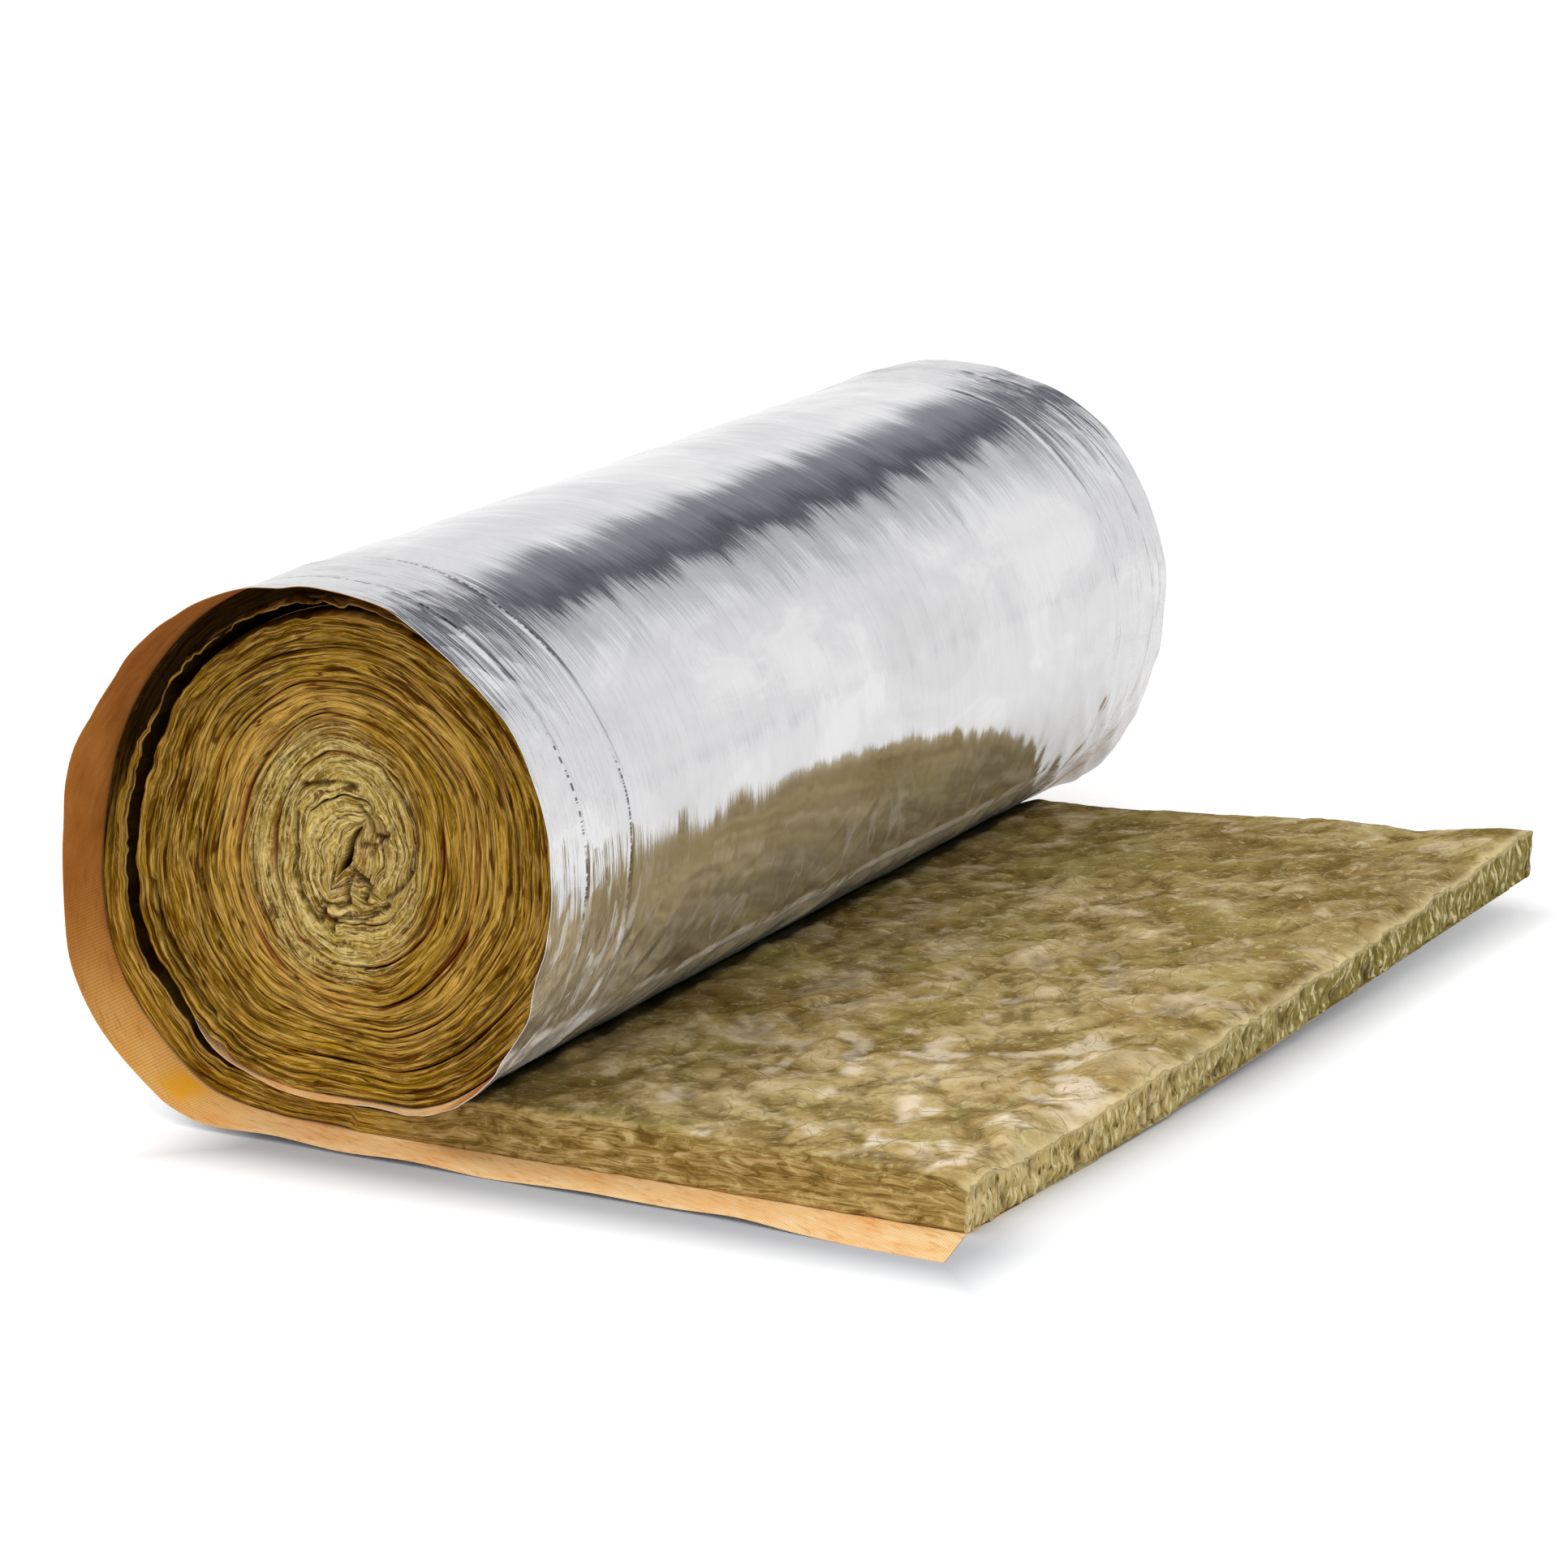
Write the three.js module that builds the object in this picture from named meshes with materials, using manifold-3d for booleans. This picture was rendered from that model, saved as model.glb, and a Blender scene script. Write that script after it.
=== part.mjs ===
// A partly unrolled blanket of stone wool, faced with foil-kraft laminate. Millimetres, +Z up.
//
// The roll lies on its own tail. Its axis is along Y, and the tail runs towards +X, foil down.
// Blanket and facing are one continuous strip each, wound together as a spiral from the tail's
// end to the collapsed core. The facing is on the outside of every turn, and it is wider than
// the wool, so that a stapling flange stands out at both edges of the outer turn and the tail.
//
// The origin is on the floor, under the roll's axis, at the middle of the blanket's width.

import * as THREE from 'three';
import { mergeVertices } from 'three/addons/utils/BufferGeometryUtils.js';
import Module from 'manifold-3d';

// Driving dimensions
const woolWidth = 1000;         // along the roll's axis
const woolThickness = 40;       // of the blanket where it lies free
const flangeWidth = 50;         // of facing past the wool at each edge
const facingThickness = 0.5;
const bondGap = 0.3;            // between wool and facing, and between one turn and the next
const rollRadius = 201;         // at the top of the roll
const pitch = 27.3;             // from one turn to the next, with the wool pressed
const sag = 6.5;                // by which the roll's own weight flattens its underside
const slump = 19;               // by which it swells out low down, on the side away from the tail
const tailLength = 486;         // from under the axis to the cut end, at the near edge
const tailSkew = 64;            // by which the far edge is longer
const crackWidth = 7;           // open gap inside the outer turn, on the side away from the tail
const crackFrom = 12;           // its start and end, in degrees round from the underside
const crackTo = 204;
const crackEase = 30;           // over which it opens and closes, in degrees
const coreRadius = 27;          // where the strip ends
const slitLength = 44;          // of the collapsed hole in the core
const slitWidth = 7;
const slitTurn = 60;            // of the slit's long side from the floor, in degrees
const seamTurn = 3;             // opening of the seam where the strip's inner end meets itself
const lapTurn = 36;             // how far the flanges follow the facing in under the outer turn
const stepsPerTurn = 28;

const degree = Math.PI / 180;
const step = 2 * Math.PI / stepsPerTurn;
const startRadius = rollRadius + pitch / 2;
const axisHeight = startRadius - sag;
const flatness = axisHeight / startRadius;
const facingWidth = woolWidth + 2 * flangeWidth;
const tailTop = facingThickness + bondGap + woolThickness;

// The turn angle is 0 under the axis and grows away from the tail, over the top and down again.
// Turns lie parallel, and the underside of each is flat where the roll has sagged.
const outerRadius = turn => startRadius - pitch * turn / (2 * Math.PI);
const endTurn = step * Math.round((startRadius - coreRadius) / pitch * stepsPerTurn);
const lastTurnStart = endTurn - 2 * Math.PI;

function place(radius, turn) {
  const swollen = radius + swelling(turn) * (radius / startRadius) ** 2;
  return new THREE.Vector2(
    -swollen * Math.sin(turn),
    axisHeight - swollen * Math.min(Math.cos(turn), flatness),
  );
}

// Swelling of the outermost turn at a turn angle. The turns within it swell less.
function swelling(turn) {
  const around = THREE.MathUtils.euclideanModulo(turn / degree, 360);
  const rise = THREE.MathUtils.smoothstep(around, 12, 36);
  return slump * rise * (1 - THREE.MathUtils.smoothstep(around, 56, 100));
}

function turnsBetween(from, to) {
  const count = Math.round((to - from) / step);
  return Array.from({ length: count + 1 }, (_, i) => from + i * step);
}

// Width of the crack at a turn angle: it opens from one end, runs even and closes at the other.
function crack(turn) {
  const fromEnd = Math.min(turn / degree - crackFrom, crackTo - turn / degree);
  return crackWidth * THREE.MathUtils.clamp(fromEnd / crackEase, 0, 1);
}

// Polar radius of the slit, a flattened ellipse round the axis.
function slitRadius(turn) {
  const across = turn + (90 + slitTurn) * degree;
  return 0.5 / Math.hypot(Math.cos(across) / slitLength, Math.sin(across) / slitWidth);
}

// Section of the facing from the cut end to a turn angle, with its foil face first.
function facingSection(lastTurn) {
  const turns = turnsBetween(0, lastTurn);
  const tailEnd = tailLength + tailSkew;
  return new THREE.Shape([
    new THREE.Vector2(tailEnd, 0),
    ...turns.map(turn => place(outerRadius(turn), turn)),
    ...turns.map(turn => place(outerRadius(turn) - facingThickness, turn)).reverse(),
    new THREE.Vector2(tailEnd, facingThickness),
  ]);
}

// Section of the blanket. Its inner face follows the facing of the next turn, apart from the
// crack, and the last turn closes on the slit. The tail's upper face leaves the roll's underside
// where the roll no longer presses it.
function woolSection() {
  const skin = facingThickness + bondGap;
  const tailEnd = tailLength + tailSkew;
  const outer = turnsBetween(0, endTurn).map(turn => place(outerRadius(turn) - skin, turn));
  const seam = lastTurnStart + seamTurn * degree;
  const quarter = step * Math.floor(stepsPerTurn / 4);
  const inner = [...turnsBetween(-quarter, lastTurnStart), seam]
    .map(turn => place(outerRadius(turn) - pitch + bondGap + crack(turn), turn));
  const core = [seam, ...turnsBetween(lastTurnStart, endTurn).slice(1)]
    .map(turn => place(slitRadius(turn), turn));
  const pressedFrom = inner.findIndex(point => point.y < tailTop);
  const [free, pressed] = [inner[pressedFrom - 1], inner[pressedFrom]];
  const liftOff = pressed.clone().lerp(free, (tailTop - pressed.y) / (free.y - pressed.y));
  return new THREE.Shape([
    new THREE.Vector2(tailEnd, skin),
    ...outer,
    ...core.reverse(),
    ...inner.slice(pressedFrom).reverse(),
    liftOff,
    new THREE.Vector2(tailEnd, tailTop),
  ]);
}

// Booleans
const wasm = await Module();
wasm.setup();

function toSolid(geometry) {
  geometry.deleteAttribute('normal');
  geometry.deleteAttribute('uv');
  const merged = mergeVertices(geometry);
  return new wasm.Manifold(new wasm.Mesh({
    numProp: 3,
    vertProperties: merged.attributes.position.array,
    triVerts: new Uint32Array(merged.index.array),
  }));
}

function toGeometry(solid) {
  const mesh = solid.getMesh();
  const geometry = new THREE.BufferGeometry();
  geometry.setAttribute('position', new THREE.BufferAttribute(mesh.vertProperties, 3));
  geometry.setIndex(new THREE.BufferAttribute(mesh.triVerts, 1));
  geometry.computeVertexNormals();
  return geometry;
}

// A section drawn in X and Z, extruded along Y and centred on the roll's middle.
function acrossWidth(section, width) {
  const geometry = new THREE.ExtrudeGeometry(section, { depth: width, bevelEnabled: false });
  return toSolid(geometry.rotateX(Math.PI / 2).translate(0, width / 2, 0));
}

// The tail is cut off slightly out of square: the line passes through both corners of the facing.
function cutEnd(solid) {
  const half = facingWidth / 2;
  const slope = tailSkew / facingWidth;
  const clear = facingWidth;
  const depth = 4 * woolThickness;
  const line = y => tailLength + slope * (y + half);
  const waste = new THREE.ExtrudeGeometry(new THREE.Shape([
    new THREE.Vector2(line(-clear), -clear),
    new THREE.Vector2(line(clear) + clear, -clear),
    new THREE.Vector2(line(clear) + clear, clear),
    new THREE.Vector2(line(clear), clear),
  ]), { depth, bevelEnabled: false });
  return solid.subtract(toSolid(waste.translate(0, 0, -depth / 2)));
}

function woolBlanket() {
  return toGeometry(cutEnd(acrossWidth(woolSection(), woolWidth)));
}

// The whole strip is as wide as the wool, and its outer turn and tail carry the flanges.
function foilFacing() {
  const strip = acrossWidth(facingSection(endTurn), woolWidth);
  const flanged = acrossWidth(facingSection(2 * Math.PI + lapTurn * degree), facingWidth);
  return toGeometry(cutEnd(strip.add(flanged)));
}

const stoneWool = new THREE.MeshStandardMaterial({ color: 0x8a7a45, roughness: 1, metalness: 0 });
const foilKraft = new THREE.MeshStandardMaterial({ color: 0xc9cbce, roughness: 0.3, metalness: 1 });

const insulationRoll = new THREE.Group();
for (const [name, geometry, material] of [
  ['wool_blanket', woolBlanket(), stoneWool],
  ['foil_facing', foilFacing(), foilKraft],
]) {
  const mesh = new THREE.Mesh(geometry, material);
  mesh.name = name;
  insulationRoll.add(mesh);
}

export default insulationRoll;
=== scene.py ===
# The finish of a partly unrolled blanket of stone wool, faced with foil-kraft laminate.
# Metres, +Z up. The roll's axis is along Y, and its tail runs along the floor towards +X.
#
# Wool and facing are one strip each. A place on a strip is given by how far it is along the
# strip from under the roll's axis (below zero on the tail), across the strip from its middle,
# and through it from the foil side to the bare side.
import math

import bpy
import numpy as np
from mathutils import Matrix, Vector


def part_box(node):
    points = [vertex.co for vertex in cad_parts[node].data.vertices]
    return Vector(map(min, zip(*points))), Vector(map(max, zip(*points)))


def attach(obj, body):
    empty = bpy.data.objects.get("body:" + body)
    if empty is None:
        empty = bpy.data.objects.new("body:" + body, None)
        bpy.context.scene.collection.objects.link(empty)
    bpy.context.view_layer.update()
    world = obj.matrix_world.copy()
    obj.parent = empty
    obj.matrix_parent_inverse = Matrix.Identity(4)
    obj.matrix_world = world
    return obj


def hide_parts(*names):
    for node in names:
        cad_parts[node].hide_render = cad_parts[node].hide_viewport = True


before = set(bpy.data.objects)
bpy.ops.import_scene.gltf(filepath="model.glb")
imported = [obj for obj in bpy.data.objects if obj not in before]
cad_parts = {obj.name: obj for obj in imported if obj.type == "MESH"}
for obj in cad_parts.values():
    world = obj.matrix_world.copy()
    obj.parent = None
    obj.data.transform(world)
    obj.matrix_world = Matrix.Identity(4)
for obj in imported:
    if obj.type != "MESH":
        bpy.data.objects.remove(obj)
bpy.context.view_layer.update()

# Sizes of the wound strip
WOOL_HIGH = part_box("wool_blanket")[1]
FACING_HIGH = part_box("foil_facing")[1]
PITCH = 0.0273
SAG = 0.0065
SLUMP = 0.019
BULGE = 0.0042
CORE_RADIUS = 0.027
WOOL_THICKNESS = 0.040
SHEET_THICKNESS = 0.0005
BOND_GAP = 0.0003
WOOL_HALF = WOOL_HIGH.y
FACING_HALF = FACING_HIGH.y
FLANGE = FACING_HALF - WOOL_HALF
TAIL_END = FACING_HIGH.x
TAIL_SKEW = (FACING_HIGH.x - WOOL_HIGH.x) / FLANGE * 2 * FACING_HALF
SKIN = SHEET_THICKNESS + BOND_GAP
TAIL_TOP = SKIN + WOOL_THICKNESS
START_RADIUS = (FACING_HIGH.z + SAG + PITCH / 2) / 2
AXIS_HEIGHT = START_RADIUS - SAG
FLATNESS = AXIS_HEIGHT / START_RADIUS
FULL_TURN = 2 * math.pi
END_TURN = FULL_TURN * (START_RADIUS - CORE_RADIUS) / PITCH
LAST_TURN = END_TURN - FULL_TURN

# The crack inside the outer turn, and the collapsed hole in the core
CRACK_WIDTH = 0.0056
CRACK_FROM = math.radians(12)
CRACK_TO = math.radians(204)
CRACK_EASE = math.radians(30)
SLIT_LENGTH = 0.044
SLIT_WIDTH = 0.007
SLIT_TURN = math.radians(60)

# Where the flange's lap under the outer turn ends
LAP_END = FULL_TURN + math.radians(36)

# The sides of a strip, in the order in which its rings run round it, and its own two ends
FOIL_SIDE, FAR_END, BARE_SIDE, NEAR_END, STRIP_END = range(5)

# Layers that part on the wool's ends, the curl of the tail's far corner, and the facing's creases
LAMINAE = 9
CORNER_LIFT = 0.031
CREASES = (WOOL_HALF + 0.008, WOOL_HALF - 0.060)

# Folds on the core's end, in millimetres right of the roll's axis and above it
FOLDS = (
    ((-45, 22), (-45, 0), (-45, -18), (-42, -36), (-30, -53), (-25, -55), (-20, -41), (-10, -43),
     (-1, -39), (-3, -31), (-2, -23), (3, -15), (13, -20), (16, -25), (12, -33)),
    ((-16, -61), (-14, -52), (-2, -49), (9, -50), (18, -45), (30, -36)),
    ((8, 34), (17, 26), (20, 15), (28, 13), (34, 20)),
    ((10, 6), (22, 8), (18, 0)),
    ((30, 56), (41, 47), (50, 38), (54, 24), (55, 8), (52, -6), (44, -18), (32, -30)),
    ((-40, 44), (-28, 46), (-12, 50), (4, 48)),
)
OCHRE_FOLD = ((-12, -33), (0, -20), (8, -6), (14, 6), (24, 8))
THIN_CRACK = ((-168, -30), (-166, -45), (-159, -75), (-133, -120), (-98, -156), (-84, -166))


# Noise
def lattice(column, row, seed):
    """Repeatable random numbers from 0 to 1 at whole-number places."""
    jumbled = np.sin(column * 127.1 + row * 311.7 + seed * 74.7) * 43758.5453
    return jumbled - np.floor(jumbled)


def noise(u, v, seed):
    """Smooth noise from about -1 to 1, with features one unit across."""
    u, v = np.broadcast_arrays(np.asarray(u, float), np.asarray(v, float))
    column, row = np.floor(u), np.floor(v)
    total = np.zeros(u.shape)
    for right in (0, 1):
        for up in (0, 1):
            du, dv = u - column - right, v - row - up
            angle = FULL_TURN * lattice(column + right, row + up, seed)
            fade_u, fade_v = (1 - t * t * t * (t * (t * 6 - 15) + 10) for t in (abs(du), abs(dv)))
            total += fade_u * fade_v * (np.cos(angle) * du + np.sin(angle) * dv)
    return 1.6 * total


def layered_noise(u, v, seed, layers=3):
    """Noise with finer and weaker layers added, each turned against the last."""
    total, weight = 0, 1
    for layer in range(layers):
        total = total + weight * noise(u, v, seed + 17 * layer)
        u, v = 1.6 * u + 1.2 * v + 3.1, 1.6 * v - 1.2 * u + 7.7
        weight *= 0.5
    return total


def ramp(value, low, high):
    """0 at low and 1 at high, with a soft start and end."""
    t = np.clip((value - low) / (high - low), 0, 1)
    return t * t * (3 - 2 * t)


def smooth_min(a, b, ease):
    """The smaller of two values, rounded off where they meet."""
    mix = np.clip(0.5 + 0.5 * (b - a) / ease, 0, 1)
    return b * (1 - mix) + a * mix - ease * mix * (1 - mix)


def bump_at(value, centre, width):
    """1 at the centre, falling to nearly 0 at twice the width from it."""
    return np.exp(-(((value - centre) / width) ** 2))


# The spiral
def turn_at(along):
    """Turn angle at a distance along the strip: 0 under the axis, growing over the top."""
    along = np.maximum(along, 0)
    return (START_RADIUS - np.sqrt(START_RADIUS**2 - PITCH * along / math.pi)) * FULL_TURN / PITCH


def along_at(turn):
    """Distance along the strip at a turn angle."""
    return START_RADIUS * turn - PITCH * turn**2 / (2 * FULL_TURN)


def outer_radius(turn):
    return START_RADIUS - PITCH * turn / FULL_TURN


def degrees_round(turn):
    return np.degrees(np.mod(turn, FULL_TURN))


def swelling(turn, radius, y):
    """How far a turn stands out from a true spiral, most of all the outermost."""
    around = degrees_round(turn)
    slump = SLUMP * ramp(around, 12, 36) * (1 - ramp(around, 56, 100))
    flank = -0.0035 * bump_at(around, 126, 22)
    top = -0.0035 * bump_at(around, 180, 38) * ramp(y, -0.40, 0.05)
    far_flank = 0.0045 * bump_at(around, 248, 40) * ramp(y, 0.25, 0.55)
    depth = (START_RADIUS - radius) / PITCH
    second = ramp(depth, 0, 1) * (1 - ramp(depth, 1, 3.5))
    foot = np.where(around > 180, np.clip((around - 321) / 16, 0, 1), 1 - ramp(around, 25, 60))
    shape = slump + flank + top + far_flank
    return shape * (radius / START_RADIUS) ** 2 + BULGE * foot * second


def place(radius, turn, y=0.0):
    """X and Z of a place on the wound strip, whose underside is flat."""
    swollen = radius + swelling(turn, radius, y)
    rise = smooth_min(np.cos(turn), FLATNESS, 0.012)
    return -swollen * np.sin(turn), AXIS_HEIGHT - swollen * rise


def crack_width(turn):
    """Width of the open crack inside the outer turn."""
    from_end = np.minimum(turn - CRACK_FROM, CRACK_TO - turn)
    uneven = 1 + 0.55 * layered_noise(turn * 5, 0.5, 3) + 0.35 * noise(turn * 16, 0.5, 5)
    uneven = uneven + 0.30 * noise(turn * 31, 0.5, 6)
    low = 0.35 + 0.65 * ramp(turn, math.radians(42), math.radians(84))
    return CRACK_WIDTH * low * ramp(from_end, 0, CRACK_EASE) * np.clip(uneven, 0.10, 1.9)


def slit_radius(turn):
    """Distance from the axis to the edge of the collapsed hole."""
    across = turn + math.pi / 2 + SLIT_TURN
    return 0.5 / np.hypot(np.cos(across) / SLIT_LENGTH, np.sin(across) / SLIT_WIDTH)


def inner_radius(turn):
    """Radius of the wool's bare side, which rests on the next turn or closes on the slit."""
    resting = outer_radius(turn) - PITCH + BOND_GAP + crack_width(turn)
    closing = ramp(turn, LAST_TURN, LAST_TURN + math.radians(14))
    return resting * (1 - closing) + slit_radius(turn) * closing


def tail_end_at(across):
    """X of the tail's cut, which is a little out of square."""
    return TAIL_END - TAIL_SKEW * (FACING_HALF - across) / (2 * FACING_HALF)


def pressed_top(x):
    """Height of the tail's bare side where the roll presses it."""
    turn = np.linspace(-math.pi / 2, 0, 400)
    under_x, under_z = place(outer_radius(turn) - PITCH + BOND_GAP, turn)
    order = np.argsort(under_x)
    pressed = np.interp(x, under_x[order], under_z[order])
    return smooth_min(pressed, TAIL_TOP, 0.008)


def lean(value, low, high):
    """0 at low, 1 at high, and nearly straight between them after a soft start."""
    t = np.clip((value - low) / (high - low), 0, 1.1)
    return 1.15 * t * t / (t + 0.15)


def corner_lift(x, y):
    """Height by which the tail's far corner curls off the floor."""
    return CORNER_LIFT * lean(x, 0.14, 0.55) * lean(y, -0.30, WOOL_HALF)


def crumple(x, z):
    """Pushes the core's turns about, alike in wool and facing."""
    radius = np.hypot(x, z - AXIS_HEIGHT)
    give = 1 - ramp(radius, 0.03, 0.095)
    broad = 0.0035 * ramp(radius, 0.02, 0.1) * (1 - ramp(radius, 0.15, 0.19))
    squeezed = 0.12 * (1 - ramp(radius, 0.05, 0.17))

    def shift(seed):
        fine = 0.0050 * noise(x / 0.031, z / 0.031, seed) + 0.0022 * noise(x / 0.013, z / 0.013, seed + 2)
        return fine * give + broad * noise(x / 0.07, z / 0.07, seed + 4)

    return x * (1 - squeezed) + shift(41), AXIS_HEIGHT + (z - AXIS_HEIGHT) * (1 + squeezed) + shift(42)


def from_pith(x, z):
    """Distance from the middle of the roll's end, where 1 is the edge of its pale pith."""
    out = np.hypot((x + 0.013) / 0.073, (z - AXIS_HEIGHT + 0.003) / 0.098)
    return out + 0.07 * noise(x / 0.03, z / 0.03, 13)


# Wool
def on_end(share):
    """Whether a point is on one of the blanket's two wide ends, and not just beside it."""
    return np.abs(share) > 0.9999


def on_cut(along):
    """Whether a point is on the tail's cut end, and not just beside it."""
    return along <= -TAIL_END + 1e-6


def end_seed(share):
    """Shifts the noise, so that the blanket's two ends differ."""
    return np.where(share < 0, 0.0, 9.0)


def distance_to(line, x, z):
    """Distance from a line of points on the end of the roll, given in millimetres from its axis."""
    x, z = 1000 * x, 1000 * (z - AXIS_HEIGHT)
    nearest = np.full(np.shape(x), 1000.0)
    for (x0, z0), (x1, z1) in zip(line[:-1], line[1:]):
        run, rise = x1 - x0, z1 - z0
        share = np.clip(((x - x0) * run + (z - z0) * rise) / (run**2 + rise**2), 0, 1)
        nearest = np.minimum(nearest, np.hypot(x - x0 - share * run, z - z0 - share * rise))
    return nearest / 1000


def laminae(along, through, side):
    """Groove depth from 0 to 1 of the layers that show on an end, and where in them a place is."""
    wander = 0.80 * noise(along / 0.070, through * 2.2 + 31 * side, 1)
    wander += 0.40 * noise(along / 0.032, through * 5 + 31 * side, 2)
    phase = through * LAMINAE + wander * np.sin(math.pi * through) ** 0.5
    layer = np.round(phase / 2)
    from_groove = np.abs(phase / 2 - layer)
    broken = ramp(noise(along / 0.085, layer * 3.7 + side, 3), -0.55, 0.45)
    return bump_at(from_groove, 0, 0.16) * broken, phase / LAMINAE


def seam_at(along, through, side, radius):
    """Share of the open seams between turns, strongest near the core."""
    edge = np.minimum(through, 1 - through) * PITCH
    parted = ramp(noise(along / 0.06, 3.1 + side, 12), -0.35, 0.35)
    seam = bump_at(edge, 0, 0.0016) * (along > 0) * ramp(radius, 0.045, 0.065) * parted
    return seam * (0.30 + 0.70 * (1 - ramp(radius, 0.11, 0.14)))


def folds_at(x, z, wound, core):
    """Share of the folds round the core, and of the thin crack at the far left."""
    wobble = 0.0012 * noise(x / 0.009, z / 0.009, 9)
    strength = np.clip(0.85 + 0.35 * noise(x / 0.012, z / 0.012, 10), 0, 1)
    folds = np.zeros(np.shape(x))
    for line in FOLDS:
        folds = np.maximum(folds, strength * bump_at(distance_to(line, x, z) + wobble, 0, 0.0017))
    thin_crack = bump_at(distance_to(THIN_CRACK, x, z) + wobble, 0, 0.0022) * wound
    thin_crack = thin_crack * ramp(noise(x / 0.02, z / 0.02, 14), -0.7, -0.1)
    return np.maximum(folds * core, thin_crack)


def shaded_recess_at(along, through, side, around):
    """Share of the wool drawn in behind the upper part of the flange, which is also painted near-black there
    as painted shade under the flange.
    """
    upper = ramp(around, 66, 112) * (1 - ramp(around, 200, 225))
    recess_edge = 0.42 + 0.46 * ramp(around, 84, 125) + 0.10 * noise(along / 0.03, side, 11)
    return upper * (1 - ramp(through, recess_edge - 0.10, recess_edge + 0.06))


def lip_at(along, through, around):
    """Share of the pale, torn edges along the crack."""
    cracked = ramp(around, 20, 45) * (1 - ramp(around, 185, 204))
    torn = ramp(noise(along / 0.018, through * 3, 15), -0.5, 0.4)
    return cracked * torn * (bump_at(through, 0.97, 0.05) + 0.6 * bump_at(through, 0.80, 0.04))


def end_detail(along, share, through, x, z):
    """Recess of an end of the blanket, and the shares of each thing that shows on it."""
    side = end_seed(share)
    around = np.degrees(turn_at(along))
    wound = along > 0
    core = wound * (1 - ramp(from_pith(x, z), 0.80, 1.08))
    seam = seam_at(along, through, side, np.hypot(x, z - AXIS_HEIGHT))
    folds = folds_at(x, z, wound, core)
    shaded_recess = wound * shaded_recess_at(along, through, side, around)
    lip = wound * lip_at(along, through, around)
    shaded_groove = laminae(along, through, side)[0] * np.where(wound, 1 - 0.5 * core, 0.22)
    recess = 0.0026 * shaded_groove + 0.0030 * seam + 0.0050 * folds + 0.0080 * shaded_recess
    recess += 0.0014 * (1 + noise(along / 0.22, 0.5 + side, 7))
    recess += 0.0010 * noise(along / 0.024, through * 8 + side, 8)
    recess = np.maximum(recess - 0.0015 * lip, 0)
    # The layer grooves, the core's folds and the thin crack are painted near-black by this share: painted
    # shade in them.
    dark = np.clip(np.maximum(0.75 * shaded_groove, folds), 0, 1)
    return recess, {"shaded_groove": dark, "seam": seam, "lip": np.clip(lip, 0, 1), "shaded_recess": shaded_recess, "core": core}


def puffs_at(x, y):
    """Puffs of the tail's bare side, from 0 in the hollows between them to about 1."""
    bent_x = x + 0.020 * noise(x / 0.06, y / 0.06, 50)
    bent_y = y + 0.020 * noise(x / 0.06, y / 0.06, 51)
    broad = noise(bent_x / 0.056, bent_y / 0.080, 52)
    middle = noise(bent_x / 0.029 + 5, bent_y / 0.045, 53)
    small = noise(bent_x / 0.014, bent_y / 0.022 + 9, 54)
    return np.hypot(broad, 0.16) + 0.5 * np.hypot(middle, 0.12) + 0.28 * np.hypot(small, 0.10) - 0.25


def tail_relief(x, y):
    """Height of the puffs and hollows on the tail's bare side."""
    fine = layered_noise(x / 0.012, y / 0.010, 57, 2)
    hollow = -0.006 * bump_at(x, 0.455, 0.045) * ramp(y, 0.25, WOOL_HALF)
    even = 1 - 0.65 * ramp(np.abs(y), WOOL_HALF - 0.10, WOOL_HALF - 0.01)
    return even * (0.0066 * (puffs_at(x, y) - 0.45) + 0.0006 * fine) + hollow


def cut_relief(y, through):
    """Depth of the tufts on the tail's cut end."""
    bent = y + 0.005 * noise(y / 0.02, through * 2, 61)
    tufts = noise(bent / 0.0090, through * 2.0, 62)
    chips = noise(y / 0.032, through * 1.6, 63)
    reach = 0.0040 * ramp(y, 0.30, WOOL_HALF)
    return 0.0030 * (0.5 + tufts) + 0.0024 * (0.4 + chips) - reach


def tail_wool(along, share, through):
    """X and Z of places on the wool's tail, and how far they are from its cut."""
    across = share * WOOL_HALF
    x = -along / TAIL_END * tail_end_at(across)
    from_cut = tail_end_at(across) - x
    x = x - np.where(on_cut(along), cut_relief(across, through), 0)
    top = pressed_top(np.maximum(x, 0)) + ramp(x, 0.05, 0.11) * tail_relief(x, across)
    worn_edge = 0.0075 + 0.0030 * noise(across / 0.05, 0.5, 72) + 0.0020 * noise(across / 0.009, 0.5, 71)
    worn_edge = worn_edge * (1 - 0.85 * ramp(across, 0.38, 0.47))
    top = top - worn_edge * ramp(from_cut, 0.026, 0) ** 1.5
    top = top - np.where(on_end(share), 0.0022, 0)
    return x, SKIN + (top - SKIN) * through + corner_lift(x, across), from_cut


def sunken(along, share, turn):
    """How far the wool's outer side lies within the facing. It is frayed at the ends."""
    depth = 0.0012 + 0.0016 * ramp(np.abs(share), 0.995, 0.975)
    frayed = on_end(share) * ramp(turn, FULL_TURN + 0.3, FULL_TURN + 0.6)
    frayed = frayed * ramp(turn, FULL_TURN + 4, FULL_TURN + 3.4)
    tufts = layered_noise(along / 0.024, 0.5 + end_seed(share), 74, 2)
    depth = depth + frayed * (0.0008 + 0.0034 * np.abs(tufts))
    return depth * np.where(frayed > 0, 1, 1 - ramp(turn, FULL_TURN, FULL_TURN + 0.3))


def tattered(along, share, turn):
    """How much wider the crack is just behind its torn edge than at the edge."""
    behind_edge = ramp(1 - np.abs(share), 0.0, 0.010) * ramp(crack_width(turn), 0.0, 0.003)
    tatters = layered_noise(along / 0.026, 0.5 + end_seed(share), 75, 2)
    return (0.0012 + 0.0038 * np.abs(tatters)) * behind_edge * (turn < FULL_TURN)


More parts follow.
